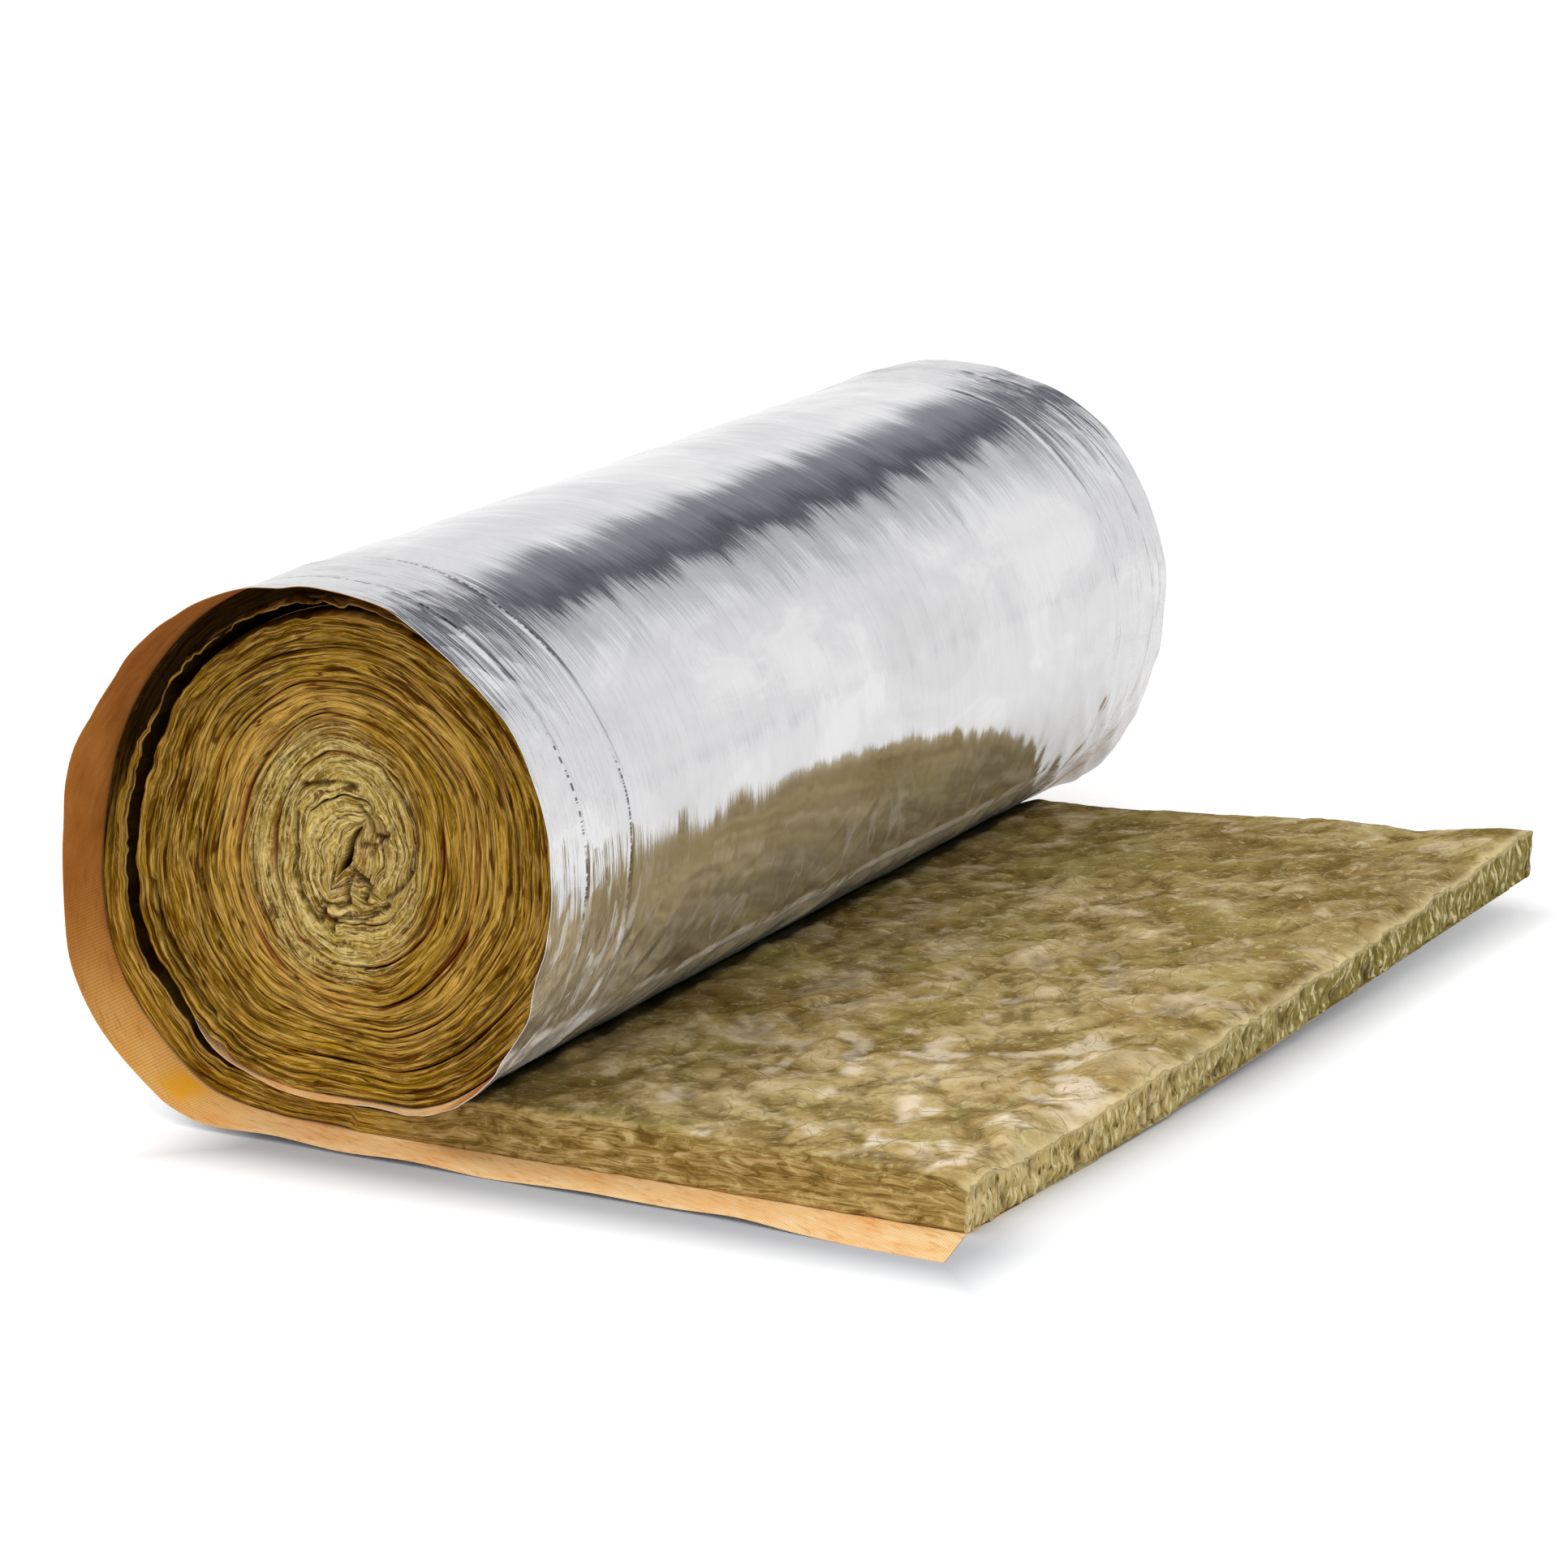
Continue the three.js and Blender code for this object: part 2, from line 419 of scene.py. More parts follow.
def wool_points(along, share, through):
    """Places on the wool, from along, share across (-1 to 1) and through (0 to 1)."""
    turn = turn_at(along)
    on_tail = along < 0
    across = share * WOOL_HALF
    tail_x, tail_z, from_cut = tail_wool(along, share, through)
    outer = outer_radius(turn) - SKIN - sunken(along, share, turn)
    inner = inner_radius(turn) + tattered(along, share, turn)
    radius = outer + (inner - outer) * through
    wound_x, wound_z = crumple(*place(radius, turn, across))
    x = np.where(on_tail, tail_x, wound_x)
    z = np.where(on_tail, tail_z, wound_z)
    recess = end_detail(along, share, through, x, z)[0]
    drawn_in = ramp(from_cut, 0.035, 0) * ramp(1 - through, 0.3, 1) * (share > 0) * on_tail
    recess = np.where(on_end(share), recess + 0.016 * drawn_in, 0)
    return np.column_stack([x, across - np.sign(share) * recess, z])


# Facing
def rim_kinks(along, seed):
    """Straight-sided folds along the free edge of a flange."""
    return np.abs(noise(along / 0.11, 0.5, seed)) - 0.3 + 0.25 * noise(along / 0.035, 0.5, seed + 1)


def crease_bend(along, sine=np.sin):
    """Sideways wander of the creases along a flange. A field takes the nodes' own sine."""
    return 0.0024 * sine(21 * along + 1.0) + 0.0012 * sine(57 * along)


def tucks_at(along, reach, around, side):
    """Height of the slanting tucks low on the flank above the tail."""
    low = ramp(around, 268, 300) * (1 - ramp(around, 318, 330))
    slanting = np.maximum(noise((reach - 0.75 * along) / 0.024, along / 0.14 + side, 87), 0)
    return 0.0045 * low * slanting * (0.35 + 0.65 * ramp(reach, WOOL_HALF - 0.24, WOOL_HALF - 0.03))


def flare_at(around):
    """How far the flange's free edge leans out, round the roll."""
    flare = 0.0035 * bump_at(around, 108, 13) - 0.0015 * bump_at(around, 76, 12)
    flare = flare + 0.0030 * bump_at(around, 147, 12) + 0.0070 * bump_at(around, 318, 11)
    return flare - 0.0045 * bump_at(around, 270, 26)


def facing_relief(along, across):
    """Height of the facing's wrinkles, creases and puckers."""
    side = np.where(across < 0, 0.0, 13.0)
    reach = np.abs(across)
    around = np.degrees(turn_at(along))
    streaks = 0.00022 * noise(along / 0.048, across / 0.0105, 81)
    dents = 0.0010 * noise(along / 0.13, across / 0.06, 82)
    dents = dents + 0.0004 * noise(along / 0.05, across / 0.03, 80)
    near_edge = ramp(reach, WOOL_HALF - 0.075, WOOL_HALF)
    puckers = 0.0006 * layered_noise(along / 0.045 + side, across / 0.016, 83, 2) * near_edge
    creases = 0
    for line, height in zip(CREASES, (0.0012, 0.0009)):
        uneven_share = ramp(noise(along / 0.055, line * 90 + side, 85), -0.6, 0.3)
        creases = creases + height * uneven_share * bump_at(reach + crease_bend(along), line, 0.0022)
    inside = streaks + dents + puckers + tucks_at(along, reach, around, side) + creases
    inside = -smooth_min(-inside, 0.0009, 0.0008) * ramp(around, 110, 128)
    free = ramp(reach, WOOL_HALF, FACING_HALF)
    return inside + 0.0036 * free * rim_kinks(along + side, 86) + flare_at(around) * free


def lap_tuck(turn):
    """How far the flange has drawn in where it is lapped under the outer turn, from 0 to 1."""
    places = (325, 334, 341, 348, 354, 366, 378, 387)
    shares = (0, 0.30, 0.62, 0.84, 0.88, 0.74, 0.82, 1.0)
    return np.interp(np.degrees(turn), places, shares)


def facing_points(along, share, through):
    """Places on the facing, from along, share across (-1 to 1) and through (0 foil, 1 kraft)."""
    turn = turn_at(along)
    on_tail = along < 0
    tuck = lap_tuck(turn)
    hidden = ramp(turn, LAP_END, LAP_END + math.radians(25))
    folded = ramp(-along, 0.42, 0.50) * (share > 0) * on_tail
    half = FACING_HALF - FLANGE * folded + (WOOL_HALF - 0.004 - FACING_HALF) * tuck - 0.028 * hidden
    free = ramp(np.abs(share) * half, WOOL_HALF + 0.004, FACING_HALF)
    straight = np.clip((np.abs(share) * half - WOOL_HALF) / FLANGE, 0, 1)
    tip = 0.011 * ramp(-along, 0.34, TAIL_END) * (share < 0) + 0.003 * noise(along / 0.12, share, 92)
    across = share * half + np.sign(share) * tip * straight
    relief = facing_relief(along, across) * (1 - tuck)
    backed = through * ramp(np.abs(across), WOOL_HALF - 0.008, WOOL_HALF - 0.014)
    relief = relief * (1 - backed) - 0.0016 * backed * (turn < LAP_END)

    trimmed = tail_end_at(across) - 0.002 + 0.015 * straight * (share < 0)
    free_x = -along / TAIL_END * trimmed
    waves = 0.0035 * free * (0.75 + noise(along / 0.10, share * 0.2, 91)) * (1 - ramp(-along, 0.36, 0.47))
    floor_z = SHEET_THICKNESS * through + waves + corner_lift(free_x, across)

    pressed = 1 - ramp(turn, 0.1, 0.6)
    radius = outer_radius(turn) - SHEET_THICKNESS * through + relief * (1 - pressed)
    wound_x, wound_z = crumple(*place(radius, turn, across))
    x = np.where(on_tail, free_x, wound_x)
    z = np.where(on_tail, floor_z, wound_z + waves * pressed * (turn < 1))
    return np.column_stack([x, across, z])


# Building a strip
def stitch(first, second):
    """Faces between two lines of points. Each line is its point numbers and its rising places."""
    (a, at_a), (b, at_b) = first, second
    if len(a) == len(b):
        return [tuple(face) for face in np.column_stack([a[:-1], a[1:], b[1:], b[:-1]]).tolist()]
    faces = []
    i = j = 0
    while i < len(a) - 1 or j < len(b) - 1:
        if j == len(b) - 1 or (i < len(a) - 1 and at_a[i + 1] <= at_b[j + 1]):
            faces.append((int(a[i]), int(a[i + 1]), int(b[j])))
            i += 1
        else:
            faces.append((int(a[i]), int(b[j + 1]), int(b[j])))
            j += 1
    return faces


def ring_round(row, near_levels, far_levels, count):
    """Points of one ring of a strip, numbered from count, and its four sides for stitching."""
    along, foil_side, bare_side = row
    foil = [(along, share, 0.0) for share in foil_side]
    far = [(along, 1.0, level) for level in far_levels]
    bare = [(along, share, 1.0) for share in bare_side[::-1]]
    near = [(along, -1.0, level) for level in near_levels[::-1]]
    spots = foil + far + bare + near
    numbers = count + np.arange(len(spots) + 1)
    numbers[-1] = count
    a, b, c = len(foil), len(foil) + len(far), len(foil) + len(far) + len(bare)
    return spots, [
        (numbers[:a], foil_side),
        (numbers[a - 1:b + 1], [0.0, *far_levels, 1.0]),
        (numbers[b:c], [-share for share in bare_side[::-1]]),
        (numbers[c - 1:], [0.0, *[1 - level for level in near_levels[::-1]], 1.0]),
    ]


def end_columns(row, ring, levels, count):
    """Points within an end of a strip, numbered from count, and its columns for stitching."""
    along, shares = row[:2]
    heights = [0.0, *levels, 1.0]
    spots, columns = [], [(ring[NEAR_END][0][::-1], heights)]
    for k, share in enumerate(shares[1:-1], start=1):
        inside = count + len(spots) + np.arange(len(levels))
        spots += [(along, share, level) for level in levels]
        top = ring[BARE_SIDE][0][len(shares) - 1 - k]
        columns.append((np.array([ring[FOIL_SIDE][0][k], *inside, top]), heights))
    return spots, [*columns, ring[FAR_END]]


def linked(name, data):
    """A new object in the scene."""
    item = bpy.data.objects.new(name, data)
    bpy.context.scene.collection.objects.link(item)
    return item


def build_strip(name, rows, near_levels, far_levels, points):
    """A closed strip. A row is its place along, and its places across on the foil and bare sides.

    Returns the object, each point's along, share and through, and the side that each face is on."""
    spots, rings = [], []
    for row in rows:
        added, ring = ring_round(row, near_levels, far_levels, len(spots))
        spots += added
        rings.append(ring)
    faces, sides = [], []
    for ring, following in zip(rings[:-1], rings[1:]):
        for side, (first, second) in enumerate(zip(ring, following)):
            made = stitch(second, first)
            faces += made
            sides += [side] * len(made)
    for end in (0, -1):
        added, columns = end_columns(rows[end], rings[end], near_levels, len(spots))
        spots += added
        for first, second in zip(columns[:-1], columns[1:]):
            made = stitch(first, second) if end == 0 else stitch(second, first)
            faces += made
            sides += [STRIP_END] * len(made)
    spots = np.array(spots)
    mesh = bpy.data.meshes.new(name)
    mesh.from_pydata(points(*spots.T).tolist(), [], faces)
    mesh.polygons.foreach_set("use_smooth", [True] * len(faces))
    return linked(name, mesh), spots, np.array(sides)


def face_outwards(piece):
    """Turns every face round if the closed shell is inside out."""
    mesh = piece.data
    mesh.calc_loop_triangles()
    corners = np.empty(3 * len(mesh.loop_triangles), int)
    mesh.loop_triangles.foreach_get("vertices", corners)
    a, b, c = points_of(mesh)[corners.reshape(-1, 3)].transpose(1, 0, 2)
    if np.einsum("ij,ij->", a, np.cross(b, c)) < 0:
        mesh.flip_normals()


def points_of(mesh):
    """Every point of a mesh, one to a row."""
    points = np.empty(3 * len(mesh.vertices))
    mesh.vertices.foreach_get("co", points)
    return points.reshape(-1, 3)


def steps(low, high, size):
    """Evenly spaced numbers from low to high, about one size apart."""
    return np.linspace(low, high, max(2, round((high - low) / size) + 1))


def store(mesh, name, kind, values):
    """Keeps a value for each point, for the materials to read."""
    stored = mesh.attributes.new(name, kind, "POINT")
    member = "vector" if kind == "FLOAT_VECTOR" else "value"
    stored.data.foreach_set(member, np.ascontiguousarray(values, np.float32).ravel())


def add_rows(rows, places, foil_side, bare_side):
    """Adds a row at each place but the first, which the rows before it have."""
    rows += [(along, foil_side, bare_side) for along in places[1:]]


def wool_rows():
    """Rows of points on the wool, closest where most of it shows."""
    buried = [-1.0, -0.97, 0.97, 1.0]
    beside = [-1.0, -0.99, -0.97, 0.0, 0.97, 0.99, 1.0]
    fine = steps(-1, 1, 0.0045 / WOOL_HALF).tolist()
    outer = along_at(FULL_TURN + 0.3)
    second = along_at(FULL_TURN + math.radians(205))
    core = along_at(END_TURN - 2.3 * FULL_TURN)
    rows = [(-TAIL_END, fine, fine)]
    add_rows(rows, steps(-TAIL_END, -0.05, 0.0044), beside, fine)
    add_rows(rows, steps(-0.05, 0, 0.006), beside, beside)
    add_rows(rows, steps(0, outer, 0.0048), beside, beside)
    add_rows(rows, steps(outer, second, 0.0050), buried, buried)
    add_rows(rows, steps(second, core, 0.0065), buried, buried)
    add_rows(rows, steps(core, along_at(END_TURN), 0.0018), buried, buried)
    return rows


def ring_shade(along, x, z):
    """Pale (above 0) and dark (below 0) rings round the pith, placed apart at left and right."""
    out = from_pith(x, z)
    left = 1 - ramp(x, -0.015, 0.045)
    ring = left * (1.1 * bump_at(out, 1.12, 0.20) - 0.55 * bump_at(out, 1.58, 0.16))
    ring = ring + (1 - left) * (0.75 * bump_at(out, 1.58, 0.20) - 0.45 * bump_at(out, 1.08, 0.12))
    return (ring - 0.65 * bump_at(out, 2.02, 0.18)) * (along > 0)


def wool_shares(along, share, through, x, y, z):
    """What the wool's material reads, and where strands lie. Each is a share for every point."""
    at_end = on_end(share)
    at_cut = on_cut(along)
    on_top = (along < 0) * (through > 0.999)
    buried_side = (along > 0) * ~at_end
    from_cut = tail_end_at(y) - x
    detail = end_detail(along, share, through, x, z)[1]
    # Deeper places between the cut end's tufts are painted darker: painted shade in the pockets.
    pocket_shade = ramp(cut_relief(np.minimum(y, 0.2), through), 0.0028, 0.0062) * ramp(through, 1.0, 0.85)
    ochre = bump_at(distance_to(OCHRE_FOLD, x, z), 0, 0.0075) * detail["core"]
    frayed = at_cut * ramp(through, 0.86, 0.97) + on_top * ramp(from_cut, 0.012, 0.003)
    near = ramp(-y, -0.22, 0.46) * ramp(x, 0.10, 0.30)
    open_top = on_top * ramp(x, 0.16, 0.24) * ramp(WOOL_HALF - np.abs(y), 0.004, 0.03)
    return {
        # The wool's buried sides, seen only as the walls of the crack, are painted fully dark: painted shade.
        "shaded_groove": np.where(at_end, detail["shaded_groove"], 1.0 * buried_side),
        "seam": detail["seam"] * at_end,
        "frayed": np.clip(frayed, 0, 1),
        # Near-black painted shadow on the tail's top, in the wedge where the roll's foil meets it.
        "wedge_shadow": on_top * ramp(x, 0.111, 0.1045),
        "hollow": pocket_shade * at_cut,
        "cut": at_cut * ramp(1.02 - through, 0, 0.15),
        "lip": detail["lip"] * at_end,
        "shaded_recess": detail["shaded_recess"] * at_end,
        "core": detail["core"] * at_end,
        "ring": ring_shade(along, x, z) * at_end,
        "ochre": ochre * at_end,
        "end": at_end | buried_side,
        "wound": ramp(along, -0.12, 0.02),
        "puff": puffs_at(x, y),
        # Tone on the tail: lighter towards the near edge and the cut, darker far back and next to the roll.
        "uneven_share": np.clip(0.90 * near + 0.08 * ramp(x, 0.38, 0.50), 0, 1),
        "fuzzy": np.clip(open_top, 0, 1),
    }


def make_wool():
    near_levels = np.linspace(0, 1, 31)[1:-1].tolist()
    far_levels = np.linspace(0, 1, 8)[1:-1].tolist()
    piece, spots, _ = build_strip("blanket_wool", wool_rows(), near_levels, far_levels, wool_points)
    along, share, through = spots.T
    thickness = np.where(along < 0, WOOL_THICKNESS, PITCH)
    layered = laminae(along, through, end_seed(share))[1] * thickness
    mesh = piece.data
    store(mesh, "strip_place", "FLOAT_VECTOR", np.column_stack([along, share * WOOL_HALF, layered]))
    for name, values in wool_shares(along, share, through, *points_of(mesh).T).items():
        store(mesh, name, "FLOAT", values)
    face_outwards(piece)
    return piece


def facing_rows():
    """Rows of points on the facing, closest on its flanges and where its foil shows."""
    inside = WOOL_HALF - 0.075
    edge = steps(inside, FACING_HALF, 0.0030) / FACING_HALF
    middle = steps(-inside, inside, 0.0050) / FACING_HALF
    fine = [*(-edge[::-1]).tolist(), *middle[1:-1].tolist(), *edge.tolist()]
    flange = [share for share in edge.tolist() if share * FACING_HALF > WOOL_HALF - 0.016]
    plain = [*[-share for share in flange[::-1]], -0.6, -0.3, 0.0, 0.3, 0.6, *flange]
    coarse = [-1.0, -0.97, -0.5, 0.0, 0.5, 0.97, 1.0]
    over = along_at(math.radians(110))
    shown = along_at(FULL_TURN)
    lapped = along_at(LAP_END + math.radians(2))
    rows = [(-TAIL_END, plain, plain)]
    add_rows(rows, steps(-TAIL_END, 0, 0.009), plain, plain)
    add_rows(rows, steps(0, over, 0.007), plain, plain)
    add_rows(rows, steps(over, shown, 0.0046), fine, plain)
    add_rows(rows, steps(shown, lapped, 0.007), plain, plain)
    add_rows(rows, steps(lapped, along_at(END_TURN), 0.008), coarse, coarse)
    return rows


def make_facing():
    piece, spots, sides = build_strip("blanket_facing", facing_rows(), [], [], facing_points)
    mesh = piece.data
    along, share, _ = spots.T
    corner = np.empty(len(mesh.loops), int)
    mesh.loops.foreach_get("vertex_index", corner)
    flat = np.column_stack([share * FACING_HALF, along])
    layer = mesh.uv_layers.new(name="laid_flat")
    layer.data.foreach_set("uv", flat[corner].astype(np.float32).ravel())

    # Foil is on the outer face, and on the near rim from the top down to the tail
    first = np.empty(len(sides), int)
    mesh.polygons.foreach_get("loop_start", first)
    at = along[corner[first]]
    rim = (sides == NEAR_END) & (at > along_at(math.radians(200))) & (at < along_at(FULL_TURN))
    foil = (sides == FOIL_SIDE) | rim
    mesh.polygons.foreach_set("material_index", np.where(foil, 0, 1).tolist())
    mesh.set_sharp_from_angle(angle=math.radians(60))
    face_outwards(piece)
    return piece


# Nodes
class Field:
    """What a node gives out. Sums with it are written as plain arithmetic."""

    def __init__(self, socket):
        self.socket = socket
        self.tree = socket.id_data

    def __add__(self, other):
        return maths("ADD", self, other)

    def __sub__(self, other):
        return maths("SUBTRACT", self, other)

    def __rsub__(self, other):
        return maths("SUBTRACT", other, self)

    def __mul__(self, other):
        return maths("MULTIPLY", self, other)

    def __abs__(self):
        return maths("ABSOLUTE", self)

    __radd__ = __add__
    __rmul__ = __mul__


def fill(node, inputs):
    """Sets each input of a node to a value, or joins it to a field."""
    for key, value in inputs.items():
        if isinstance(value, Field):
            node.id_data.links.new(value.socket, node.inputs[key])
        else:
            node.inputs[key].default_value = value


def add(tree, kind, inputs=None, **properties):
    """A new node, with its properties and inputs set."""
    node = tree.nodes.new(kind)
    for name, value in properties.items():
        setattr(node, name, value)
    fill(node, inputs or {})
    return node


def field(tree, kind, inputs=None, output=0, **properties):
    """One output of a new node, by its place or name."""
    return Field(add(tree, kind, inputs, **properties).outputs[output])


def maths(operation, first, second=0.0):
    """A sum of two values, one of which may be a plain number."""
    tree = first.tree if isinstance(first, Field) else second.tree
    return field(tree, "ShaderNodeMath", {0: first, 1: second}, operation=operation)


def sine(value):
    return maths("SINE", value)


def largest(first, second):
    return maths("MAXIMUM", first, second)


def clamped(value):
    """A value cut off at 0 and 1."""
    return field(value.tree, "ShaderNodeClamp", {0: value})


def attribute(tree, name):
    return field(tree, "ShaderNodeAttribute", output="Fac", attribute_name=name)


def split(vector):
    """A vector's X, Y and Z."""
    return [Field(socket) for socket in add(vector.tree, "ShaderNodeSeparateXYZ", {0: vector}).outputs]


def scaled(vector, scale):
    """A vector with each part multiplied by its own scale."""
    return field(vector.tree, "ShaderNodeVectorMath", {0: vector, 1: scale}, operation="MULTIPLY")


def turned(vector, angle):
    """A vector turned about Z."""
    inputs = {"Vector": vector, "Angle": angle}
    return field(vector.tree, "ShaderNodeVectorRotate", inputs, rotation_type="Z_AXIS")


def stretched(vector, scale, detail=3.0, roughness=0.55, distortion=0.0):
    """Noise on a stretched copy of a vector, scale being features to the metre each way."""
    return field(vector.tree, "ShaderNodeTexNoise", {
        "Vector": scaled(vector, scale), "Scale": 1.0, "Detail": detail, "Roughness": roughness,
        "Distortion": distortion})


def between(value, low, high):
    """0 at low and 1 at high, with a soft start and end."""
    inputs = {0: value, 1: low, 2: high, 3: 0.0, 4: 1.0}
    return field(value.tree, "ShaderNodeMapRange", inputs, interpolation_type="SMOOTHSTEP")


def past_turn(along, start, end):
    """0 before a stretch of the strip and 1 after it. Its ends are turn angles in degrees."""
    return between(along, along_at(math.radians(start)), along_at(math.radians(end)))


def veins(vector, scale, width):
    """Thin wandering lines, 1 on a line and 0 away from it."""
    level = stretched(vector, scale, 2, 0.5, 0.15)
    return between(abs(level - 0.5), width, width * 0.25)


def bumped(height, strength, distance):
    """Surface direction for a fine relief."""
    inputs = {"Strength": strength, "Distance": distance, "Height": height}
    return field(height.tree, "ShaderNodeBump", inputs)


def as_light(tint):
    """A field or a linear colour as it is, and red, green and blue from 0 to 255 made linear."""
    if isinstance(tint, Field) or len(tint) == 4:
        return tint
    linear = []
    for part in tint:
        share = part / 255
        linear.append(share / 12.92 if share <= 0.04045 else ((share + 0.055) / 1.055) ** 2.4)
    return (*linear, 1.0)


def mixed(share, first, second):
    """The first colour with a share of the second."""
    tree = [value.tree for value in (share, first, second) if isinstance(value, Field)][0]
    inputs = {0: share, 6: as_light(first), 7: as_light(second)}
    return field(tree, "ShaderNodeMix", inputs, 2, data_type="RGBA")


def painted(base, *coats):
    """A colour under coats of others, each given by its share and colour."""
    for share, tint in coats:
        base = mixed(share, base, tint)
    return base


# Materials
def new_finish(name):
    """A material with one shader, its node tree and the shader."""
    finish = bpy.data.materials.new(name)
    finish.use_nodes = True
    tree = finish.node_tree
    tree.nodes.clear()
    shader = add(tree, "ShaderNodeBsdfPrincipled")
    add(tree, "ShaderNodeOutputMaterial", {0: Field(shader.outputs[0])})
    return finish, tree, shader


def streaked(strip, base, light, dark, line):
    """A base colour with the fine light and dark lines of the wool's layers."""
    layers = stretched(strip, (11, 6, 240), 5, 0.66, 0.4)
    threads = stretched(strip, (78, 6, 540), 4, 0.70, 0.8)
    specks = stretched(strip, (150, 6, 300), 1)
    return painted(
        base,
        (0.55 * between(layers, 0.51, 0.63), light),
        (0.55 * between(layers, 0.49, 0.37), dark),
        (0.60 * veins(strip, (12, 6, 330), 0.045), light),
        (0.50 * veins(strip, (14, 6, 420), 0.050), dark),
        (0.42 * between(threads, 0.52, 0.64), light),
        (0.42 * between(threads, 0.48, 0.36), dark),
        (0.85 * veins(strip, (8, 6, 170), 0.030), line),
        (0.30 * between(specks, 0.27, 0.21), dark),
    )


def end_colours(strip, broad):
    """Colours of the layers that show on the blanket's ends."""
    names = ("core", "ring", "wound", "ochre", "shaded_recess", "lip", "shaded_groove", "seam")
    core, ring, wound, ochre, shaded_recess, lip, shaded_groove, seam = (attribute(strip.tree, name) for name in names)
    shade = between(broad, 0.38, 0.62)
    base = painted(
        mixed(shade, (134, 100, 10), (170, 132, 28)),
        (0.72 * ring, (208, 160, 78)),
        (-0.62 * ring, (92, 60, 2)),
        (core, mixed(shade, (174, 144, 62), (204, 174, 92))),
        (0.75 * ochre, (146, 90, 22)),
    )
    base = mixed(wound, mixed(shade, (150, 126, 66), (176, 152, 92)), base)
    light = mixed(wound, (188, 166, 110), mixed(core, (216, 176, 94), (234, 212, 146)))
    dark = mixed(wound, (122, 98, 46), mixed(core, (70, 42, 0), (100, 74, 18)))
    line = mixed(wound, dark, (74, 34, 2))
    specks = stretched(strip, (150, 6, 300), 3, 0.7, 0.8)
    tufts = stretched(strip, (44, 6, 120), 5, 0.65, 0.9)
    on_tail = 1.0 - wound
    return painted(
        streaked(strip, base, light, dark, line),
        (0.55 * core * between(specks, 0.50, 0.64), (222, 202, 136)),
        (0.50 * core * between(specks, 0.48, 0.36), (124, 88, 24)),
        (0.70 * on_tail * between(tufts, 0.50, 0.66), (208, 186, 132)),
        (0.80 * on_tail * between(tufts, 0.49, 0.34), (98, 74, 28)),
        # Near-black painted shade where the wool is drawn in under the upper flange.
        (0.95 * shaded_recess, (30, 19, 5)),
        (0.55 * lip, (186, 152, 98)),
        # Near-black painted shade in the layer grooves, the folds, the thin crack and on the crack's walls.
        (0.90 * shaded_groove, mixed(core, (40, 20, 1), (60, 34, 5))),
        (0.85 * seam, (128, 56, 12)),
    )


def cut_colours(strip, broad):
    """Colours of the torn tufts on the tail's cut end, with painted highlights and shade on the tufts and
    painted shade in the holes between them.
    """
    tufts = stretched(strip, (60, 190, 60), 4, 0.65, 0.5)
    hole_shade = stretched(strip, (60, 220, 90), 2, 0.5, 0.4)
    near = mixed(between(broad, 0.36, 0.64), (180, 160, 98), (220, 194, 136))
    return painted(
        # Darker towards the far side of the cut.
        mixed(attribute(strip.tree, "uneven_share"), (136, 124, 64), near),
        # Painted highlights on the tufts, and painted shade between them and in the holes.
        (0.80 * between(tufts, 0.51, 0.62), (238, 224, 176)),
        (0.85 * between(tufts, 0.46, 0.35), (100, 84, 30)),
        (0.80 * between(hole_shade, 0.38, 0.30), (54, 42, 12)),
    )


def top_colours(strip, broad):
    """Colours of the puffs on the blanket's bare side, with painted shade in the hollows and crevices and
    painted highlights on the crests.
    """
    puff = attribute(strip.tree, "puff")
    uneven_share = attribute(strip.tree, "uneven_share")
    flow = turned(strip, 0.46)
    shade = between(broad, 0.36, 0.64)
    far = mixed(shade, (134, 112, 62), (160, 138, 88))
    near = mixed(shade, (178, 150, 92), (206, 182, 130))
    clouds = stretched(flow, (19, 22, 60), 6, 0.66, 0.6)
    moss = stretched(strip, (14, 11, 60), 3, 0.55, 0.8)
    patches = stretched(strip, (21, 17, 60), 2, 0.5, 0.3)
    crevice_shade = veins(turned(strip, -0.3), (13, 9, 30), 0.016)
    fibres = stretched(flow, (80, 120, 30), 5, 0.70, 1.2)
    return painted(
        # Lighter towards the near edge and the cut, darker far back and by the roll.
        mixed(uneven_share, far, near),
        # Painted shade in the hollows between puffs, and painted highlights on their crests.
        (0.70 * between(puff, 0.38, 0.03), (94, 72, 20)),
        (0.50 * between(puff, 0.50, 1.05), (222, 204, 166)),
        (0.50 * between(clouds, 0.50, 0.70), (228, 210, 176)),
        (0.66 * between(clouds, 0.50, 0.30), (96, 76, 22)),
        (0.36 * between(moss, 0.50, 0.68), (158, 148, 80)),
        (0.80 * uneven_share * between(patches, 0.52, 0.66), (246, 230, 206)),
        (0.50 * uneven_share * between(patches, 0.47, 0.34), (104, 82, 24)),
        # Painted shade in the crevices between the puffs.
        (0.38 * crevice_shade * between(clouds, 0.58, 0.46), (80, 58, 14)),
        (0.38 * between(fibres, 0.53, 0.66), (230, 214, 168)),
        (0.40 * between(fibres, 0.47, 0.34), (96, 76, 24)),
    )


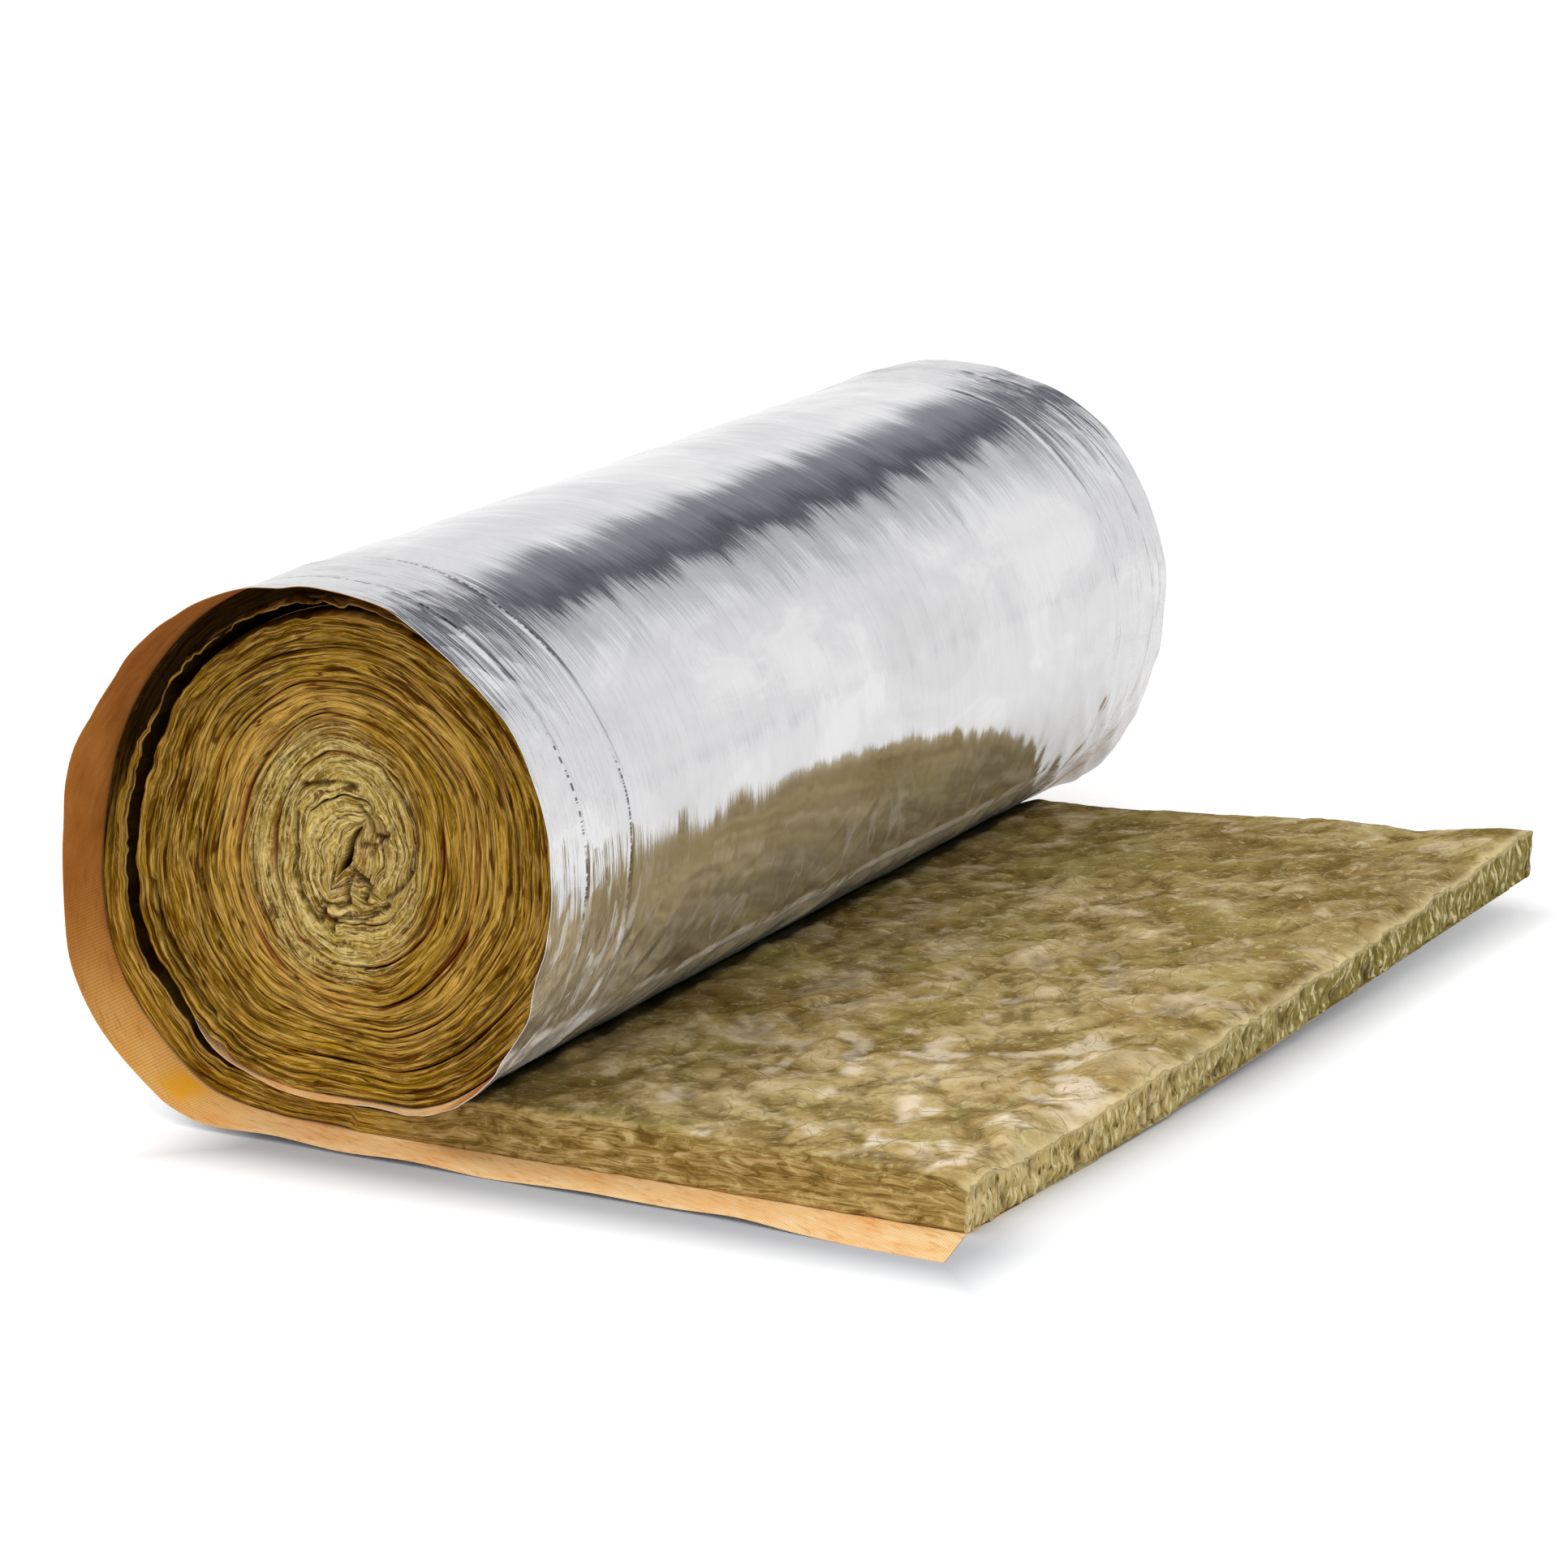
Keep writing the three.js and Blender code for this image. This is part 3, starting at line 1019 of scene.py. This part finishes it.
def stone_wool_finish():
    finish, tree, shader = new_finish("stone wool")
    strip = field(tree, "ShaderNodeAttribute", output="Vector", attribute_name="strip_place")
    end = attribute(tree, "end")
    broad = stretched(strip, (11, 13, 60), 4)
    body = painted(
        top_colours(strip, broad),
        (end, end_colours(strip, broad)),
        (attribute(tree, "cut"), cut_colours(strip, broad)),
        # Painted shade in the pockets between the tufts of the cut end.
        (0.80 * attribute(tree, "hollow"), (70, 52, 18)),
        (0.55 * attribute(tree, "frayed"), (226, 208, 158)),
        # Painted shadow, near black, in the wedge under the roll's foot.
        (0.86 * attribute(tree, "wedge_shadow"), (16, 11, 5)),
    )
    fuzz = stretched(strip, (420, 420, 900), 3, 0.65)
    layers = stretched(strip, (14, 60, 260), 3, 0.6, 0.3)
    wisps = stretched(strip, (70, 90, 60), 4, 0.62, 1.2)
    grain = field(tree, "ShaderNodeMix", {0: end, 2: wisps, 3: layers})
    nap = bumped(0.7 * grain + 0.35 * fuzz, 0.62, 0.0018)
    fill(shader, {"Base Color": body, "Normal": nap, "Roughness": 0.95, "Specular IOR Level": 0.04})
    return finish


def strand_finish():
    finish, tree, shader = new_finish("loose wool strands")
    shade = stretched(field(tree, "ShaderNodeTexCoord", output="Object"), (60, 60, 60), 2)
    body = mixed(between(shade, 0.35, 0.65), (150, 128, 76), (204, 186, 136))
    fill(shader, {"Base Color": body, "Roughness": 0.9, "Specular IOR Level": 0.1})
    return finish


def crease_lines(across, along):
    """The facing's creases as ridges, and the dark dashes along the near ones."""
    spot = field(across.tree, "ShaderNodeCombineXYZ", {0: 3.0 * across, 1: along})
    dashes = between(stretched(spot, (3, 230, 1), 3, 0.6), 0.46, 0.52)
    lengths = between(stretched(spot, (3, 9, 1), 1, 0.5), 0.40, 0.52)
    marks = ridges = 0.0
    for line in CREASES:
        from_line = abs(abs(across) + crease_bend(along, sine) - line)
        marks = marks + between(from_line, 0.0020, 0.0009)
        ridges = ridges + between(from_line, 0.0060, 0.0008)
    return ridges, marks * between(across, 0.0, -0.1) * dashes * lengths


def foot_fold(flat, along):
    """How far a place is past the fold at the roll's foot, and the share of the fold there."""
    past = along + 0.016 * stretched(flat, (9, 1, 1), 2) - (along_at(math.radians(308)) + 0.008)
    uneven_share = between(stretched(flat, (26, 4, 1), 2), 0.34, 0.50)
    return past, uneven_share * between(abs(past), 0.0100, 0.0020)


def low_glints(flat, along, low, near_rim):
    """Painted highlights on the tucks and the crinkled rims, low on the flank above the tail."""
    tucks = veins(turned(flat, 0.6), (24, 6, 1), 0.020)
    tucks = tucks * between(stretched(flat, (7, 9, 1), 2), 0.42, 0.60) * low
    crinkles = near_rim * between(stretched(flat, (64, 20, 1), 3, 0.6, 0.7), 0.54, 0.62)
    return 0.30 * tucks + 0.75 * crinkles * past_turn(along, 254, 272)


def foil_ripples(flat, across, near_rim):
    """Height of the foil's ripples, and of the fine lines and facets near its rims."""
    ripples = stretched(flat, (60, 8, 1), 3, 0.55, 0.3)
    lines = near_rim * stretched(flat, (210, 7, 1), 3, 0.6, 0.2)
    cells = {"Vector": scaled(flat, (60, 34, 1)), "Scale": 1.0}
    facets = field(flat.tree, "ShaderNodeTexVoronoi", cells, "Distance")
    facets = facets * between(abs(across), WOOL_HALF - 0.05, WOOL_HALF)
    return ripples + 3.2 * lines + 3.6 * facets


def foil_finish():
    finish, tree, shader = new_finish("aluminium foil")
    flat = field(tree, "ShaderNodeUVMap", uv_map="laid_flat")
    across, along = split(flat)[:2]
    low = past_turn(along, 272, 296)
    # The foil tucked deep into the roll, seen only in the crack, is painted near-black and dull: painted
    # shade.
    crack_shade = past_turn(along, 398, 408)
    near_rim = between(abs(across), WOOL_HALF - 0.13, WOOL_HALF - 0.02)
    past_foot, foot = foot_fold(flat, along)
    ridges, marks = crease_lines(across, along)
    ridges = ridges * between(stretched(flat, (4, 16, 1), 2), 0.36, 0.56)
    # Painted highlights: pale, less metallic ridges on the creases, the foot fold, the tucks and the crinkled
    # rims.
    lit = clamped(ridges * low + foot + low_glints(flat, along, low, near_rim))
    wrinkles = stretched(flat, (190, 20, 1), 4, 0.6, 0.3)
    height = 0.5 * wrinkles + foil_ripples(flat, across, near_rim)
    height = height + 4.5 * (ridges * (0.60 + low) + foot)
    calmed = height * (1.0 - 0.66 * past_turn(along, 252, 284))
    rubbed = stretched(flat, (30, 20, 1), 4, 0.6)
    tones = stretched(flat, (5, 9, 1), 5, 0.6, 0.8)
    body = painted(
        mixed(rubbed, (208, 208, 210), (222, 222, 223)),
        (0.10 * between(wrinkles, 0.46, 0.34), (150, 152, 160)),
        (0.22 * between(tones, 0.53, 0.64), (184, 184, 184)),
        (0.50 * between(tones, 0.50, 0.38), (236, 236, 236)),
        (0.95 * marks, (88, 90, 98)),
        # Painted highlights, near white.
        (0.80 * lit, (244, 244, 244)),
        # Near-black painted shade on the foil inside the crack.
        (crack_shade, (30, 25, 18)),
    )
    gloss = field(tree, "ShaderNodeMapRange", {0: rubbed, 1: 0.3, 2: 0.75, 3: 0.09, 4: 0.16})
    # Less metal where the painted highlights are, as a painted lighter strip below the foot fold, a little
    # low on the flank, and in the painted crack shade.
    dull = 0.70 * lit + 0.46 * between(past_foot, -0.001, 0.003) + 0.10 * low + crack_shade
    fill(shader, {
        "Base Color": body, "Metallic": clamped(0.93 - dull), "Roughness": gloss,
        "Normal": bumped(calmed, 0.55, 0.0009)})
    return finish


def kraft_finish():
    finish, tree, shader = new_finish("kraft paper")
    flat = field(tree, "ShaderNodeUVMap", uv_map="laid_flat")
    across, along = split(flat)[:2]
    mottle = between(stretched(flat, (24, 16, 1), 4), 0.3, 0.7)
    fibres = stretched(turned(flat, 0.40), (190, 42, 1), 4, 0.65, 0.3)
    # The flange on the roll is painted darker and more orange higher round the roll: painted shade on its
    # upper part.
    shaded_rolled = painted(
        mixed(mottle, (250, 184, 96), (255, 206, 122)),
        (between(along, 0.15, 0.30), mixed(mottle, (190, 118, 50), (214, 144, 68))),
        (between(along, 0.38, 0.56), mixed(mottle, (168, 98, 42), (192, 122, 54))),
        (0.30 * between(fibres, 0.53, 0.68), (224, 158, 88)),
        (0.25 * between(fibres, 0.47, 0.34), (140, 80, 32)),
    )
    outer_turn = between(along, 0.02, 0.16) * between(past_turn(along, 320, 336), 1.0, 0.0)
    glow = between(along, 0.108, 0.126) * between(along, 0.152, 0.132)
    glow = glow * between(across, -0.545, -0.530) * between(across, -0.499, -0.503)
    threads = field(tree, "ShaderNodeVectorMath", {0: scaled(flat, (220, 440, 1))}, operation="FRACTION")
    warp, weft = split(threads)[:2]
    scrim = largest(0.5 * between(abs(warp - 0.5), 0.40, 0.5), between(abs(weft - 0.5), 0.26, 0.5))
    body = painted(
        mixed(mottle, (250, 194, 126), (255, 218, 160)),
        (0.50 * between(fibres, 0.53, 0.66), (255, 232, 192)),
        (0.45 * between(fibres, 0.47, 0.34), (206, 136, 66)),
        # The painted shade of the flange round the roll.
        (outer_turn, shaded_rolled),
        (0.40 * scrim, (160, 100, 46)),
        (0.85 * glow, (255, 184, 34)),
    )
    tooth = bumped(0.6 * scrim + 0.4 * fibres, 0.5, 0.0003)
    fill(shader, {"Base Color": body, "Normal": tooth, "Roughness": 0.62, "Specular IOR Level": 0.35})
    return finish


# Loose strands of wool
STRAND_INPUTS = (
    ("Surface", "NodeSocketGeometry"), ("Strands per square metre", "NodeSocketFloat"),
    ("Shortest", "NodeSocketFloat"), ("Longest", "NodeSocketFloat"), ("Slenderness", "NodeSocketFloat"),
    ("Tilt", "NodeSocketFloat"), ("Seed", "NodeSocketInt"), ("Finish", "NodeSocketMaterial"),
)


def at_random(tree, low, high, seed, data_type):
    """A random number or vector from low to high for each strand."""
    node = add(tree, "FunctionNodeRandomValue", {"Min": low, "Max": high, "Seed": seed}, data_type=data_type)
    return Field([socket for socket in node.outputs if socket.enabled][0])


def strand_tree():
    """Nodes that lay bent strands on a surface, most where its fuzzy attribute is 1."""
    tree = bpy.data.node_groups.new("loose_strands", "GeometryNodeTree")
    for name, kind in STRAND_INPUTS:
        tree.interface.new_socket(name, in_out="INPUT", socket_type=kind)
    tree.interface.new_socket("Strands", in_out="OUTPUT", socket_type="NodeSocketGeometry")
    given = {socket.name: Field(socket) for socket in add(tree, "NodeGroupInput").outputs}
    seed = given["Seed"]
    tilt = given["Tilt"]
    fuzzy = field(
        tree, "GeometryNodeInputNamedAttribute", {"Name": "fuzzy"}, "Attribute", data_type="FLOAT")
    spots = add(tree, "GeometryNodeDistributePointsOnFaces", {
        "Mesh": given["Surface"], "Density": given["Strands per square metre"] * fuzzy, "Seed": seed})
    bow = field(tree, "GeometryNodeCurveQuadraticBezier", {
        "Resolution": 5, "Start": (-0.5, 0.0, -0.03), "Middle": (0.1, 0.30, 0.05), "End": (0.5, 0.0, -0.02)})
    girth = field(tree, "GeometryNodeCurvePrimitiveCircle", {"Resolution": 3, "Radius": given["Slenderness"]})
    strand = field(tree, "GeometryNodeCurveToMesh", {"Curve": bow, "Profile Curve": girth, "Fill Caps": True})
    laid = field(tree, "GeometryNodeInstanceOnPoints", {
        "Points": Field(spots.outputs["Points"]), "Instance": strand,
        "Rotation": Field(spots.outputs["Rotation"]),
        "Scale": at_random(tree, given["Shortest"], given["Longest"], seed, "FLOAT")})
    least = field(tree, "ShaderNodeCombineXYZ", {0: -1.0 * tilt, 1: -1.0 * tilt})
    most = field(tree, "ShaderNodeCombineXYZ", {0: tilt, 1: tilt, 2: FULL_TURN})
    laid = field(tree, "GeometryNodeRotateInstances", {
        "Instances": laid, "Rotation": at_random(tree, least, most, seed, "FLOAT_VECTOR"),
        "Local Space": True})
    real = field(tree, "GeometryNodeRealizeInstances", {"Geometry": laid})
    done = field(tree, "GeometryNodeSetMaterial", {"Geometry": real, "Material": given["Finish"]})
    add(tree, "NodeGroupOutput", {"Strands": done})
    return tree


def make_strands(name, surface, tree, settings):
    """A plain mesh of strands on a surface, from the tree and its inputs' values."""
    host = linked(name + "_host", surface.data)
    modifier = host.modifiers.new("strands", "NODES")
    modifier.node_group = tree
    sockets = {item.name: item.identifier for item in tree.interface.items_tree if item.in_out == "INPUT"}
    for key, value in settings.items():
        modifier[sockets[key]] = value
    settled = host.evaluated_get(bpy.context.evaluated_depsgraph_get())
    mesh = bpy.data.meshes.new_from_object(settled)
    mesh.name = name
    bpy.data.objects.remove(host)
    return linked(name, mesh)


# Studio
def ray_kinds(tree):
    """Whether a ray comes from the camera, and whether it has been mirrored or bent."""
    path = add(tree, "ShaderNodeLightPath").outputs
    mirrored = largest(Field(path["Is Glossy Ray"]), Field(path["Is Transmission Ray"]))
    return Field(path["Is Camera Ray"]), mirrored


def floor_glow(tree):
    """Strength of the floor's own white, painted light that grows away from the footprint and lightens the
    far corner's shadow, and the painted contact shadow in front.
    """
    x, y = split(field(tree, "ShaderNodeTexCoord", output="Object"))[:2]
    past_cut = x - TAIL_SKEW / (2 * FACING_HALF) * y - (TAIL_END - TAIL_SKEW / 2)
    away = largest(largest(past_cut, -0.03 - x), abs(y) - FACING_HALF)
    # Painted light: the floor glows for the camera more the farther it is from the roll, so shade shows only
    # near it.
    glow = field(tree, "ShaderNodeMapRange", {0: away, 1: 0.020, 2: 0.10, 3: 0.0, 4: 0.36})
    # Painted light that lightens the shadow under the far corner.
    corner = between(y, -0.10, 0.50) * between(x, 0.42, 0.52)
    # Painted contact shadow along the front edge.
    painted_contact_shadow = between(y, -0.44, -0.54) * between(away, 0.085, 0.0)
    return glow + 0.26 * corner, painted_contact_shadow


def studio_floor():
    """A floor that looks white away from the roll and keeps the roll's shadow, with a painted contact shadow
    in front.
    """
    mesh = bpy.data.meshes.new("studio_floor")
    reach = 60.0
    corners = [(-reach, -reach, 0), (reach, -reach, 0), (reach, reach, 0), (-reach, reach, 0)]
    mesh.from_pydata(corners, [], [(0, 1, 2, 3)])
    finish, tree, shader = new_finish("studio floor")
    seen, mirrored = ray_kinds(tree)
    strength, painted_contact_shadow = floor_glow(tree)
    # The floor is painted darker along the front edge: painted contact shadow.
    looked_at = mixed(painted_contact_shadow, (0.77, 0.775, 0.78, 1), (0.43, 0.435, 0.45, 1))
    white = mixed(seen, (0.75, 0.75, 0.75, 1), looked_at)
    white = mixed(mirrored, white, (0.92, 0.92, 0.92, 1))
    fill(shader, {"Base Color": white, "Roughness": 1.0, "Specular IOR Level": 0.0})
    glow = field(tree, "ShaderNodeEmission", {"Color": (1, 1, 1, 1), "Strength": seen * strength})
    both = field(tree, "ShaderNodeAddShader", {0: Field(shader.outputs[0]), 1: glow})
    fill([node for node in tree.nodes if node.bl_idname == "ShaderNodeOutputMaterial"][0], {0: both})
    mesh.materials.append(finish)
    linked("studio_floor", mesh)


def studio_world():
    """A white room. The foil mirrors its walls, with a haze and a dark panel in them."""
    world = bpy.data.worlds.new("studio")
    bpy.context.scene.world = world
    world.use_nodes = True
    tree = world.node_tree
    tree.nodes.clear()
    heading = field(tree, "ShaderNodeTexCoord", output="Generated")
    x, _, z = split(heading)
    upper = between(z, 0.10, 0.20)
    haze = between(x, -0.34, -0.24) * between(x, 0.25, 0.15) * upper
    dark = between(x, -0.30, -0.22) * between(x, 0.06, 0.00) * upper
    panels = between(stretched(heading, (4, 4, 7), 2), 0.35, 0.65)
    walls = painted(
        mixed(panels, (0.92, 0.92, 0.93, 1), (1.05, 1.05, 1.05, 1)),
        (haze, (0.62, 0.63, 0.66, 1)),
        (dark, mixed(between(x, -0.20, -0.02), (0.24, 0.24, 0.28, 1), (0.045, 0.055, 0.075, 1))),
    )
    seen, mirrored = ray_kinds(tree)
    looks = {"Color": mixed(mirrored, (1, 1, 1, 1), walls), "Strength": 1.0}
    walls_light = field(tree, "ShaderNodeBackground", looks)
    room_light = field(tree, "ShaderNodeBackground", {"Color": (1, 1, 1, 1), "Strength": 0.74})
    looked_at = largest(seen, mirrored)
    both = field(tree, "ShaderNodeMixShader", {0: looked_at, 1: room_light, 2: walls_light})
    add(tree, "ShaderNodeOutputWorld", {0: both})


def soft_sun(name, comes_from, spread, strength):
    """Even light from a far softbox, which mirrors don't show. Its spread is in degrees."""
    light = bpy.data.lights.new(name, "SUN")
    light.angle = math.radians(spread)
    light.energy = strength
    lamp = linked(name, light)
    lamp.rotation_euler = (-Vector(comes_from)).to_track_quat("-Z", "Y").to_euler()
    lamp.visible_glossy = False


def studio_camera():
    eye = Vector((2.00576, -3.91122, 1.25159))
    ahead = Vector((-0.42497849, 0.87197495, -0.24300817))
    upwards = Vector((-0.12032608, 0.21165716, 0.9699087))
    data = bpy.data.cameras.new("camera")
    data.lens = 131.534
    data.sensor_width = 36
    camera = linked("camera", data)
    axes = Matrix((ahead.cross(upwards), upwards, -ahead)).transposed().to_4x4()
    camera.matrix_world = Matrix.Translation(eye) @ axes
    bpy.context.scene.camera = camera


studio_camera()
studio_world()
studio_floor()
soft_sun("key", (-0.50, -0.22, 1.0), 45, 0.9)
soft_sun("front fill", (0.15, -1.0, 0.85), 60, 0.85)

wool = make_wool()
wool.data.materials.append(stone_wool_finish())
facing = make_facing()
facing.data.materials.append(foil_finish())
facing.data.materials.append(kraft_finish())
strands = make_strands("loose_strands", wool, strand_tree(), {
    "Strands per square metre": 2600.0, "Shortest": 0.014, "Longest": 0.045, "Slenderness": 0.006,
    "Tilt": 0.03, "Seed": 7, "Finish": strand_finish()})

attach(wool, "root")
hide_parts("wool_blanket")
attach(facing, "root")
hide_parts("foil_facing")
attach(strands, "root")

bpy.context.scene.view_settings.view_transform = "Standard"
for piece in (wool, facing, strands):
    piece.data.calc_loop_triangles()
    print(piece.name, len(piece.data.loop_triangles), "triangles")
